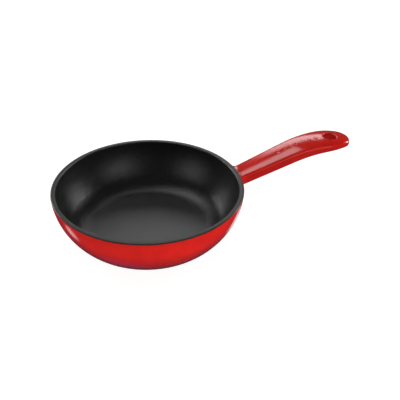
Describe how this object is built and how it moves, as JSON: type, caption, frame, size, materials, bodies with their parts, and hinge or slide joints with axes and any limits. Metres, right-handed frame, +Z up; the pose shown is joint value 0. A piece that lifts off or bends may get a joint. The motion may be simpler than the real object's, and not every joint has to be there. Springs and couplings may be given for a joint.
{
  "type": "skillet",
  "caption": "Small round enamelled cast iron skillet: deep curved bowl, flat base, an arched handle with a hanging hole near its tip.",
  "frame": {"origin": "centre of the flat base, on the surface that the skillet stands on", "axes": "+Z up out of the bowl, +X along the handle away from the bowl"},
  "size_m": [0.272, 0.165, 0.0615],
  "materials": {
    "cast_iron": "rough",
    "gloss_enamel": "gloss",
    "interior_enamel": "matte",
    "rim_enamel": "satin",
    "base_enamel": "matte"
  },
  "bodies": {
    "root": {"bowl_casting": "cast_iron", "handle_casting": "cast_iron", "bowl_enamel": "gloss_enamel", "handle_enamel": "gloss_enamel", "interior_enamel": "interior_enamel", "rim_enamel": "rim_enamel", "base_enamel": "base_enamel"}
  },
  "joints": []
}
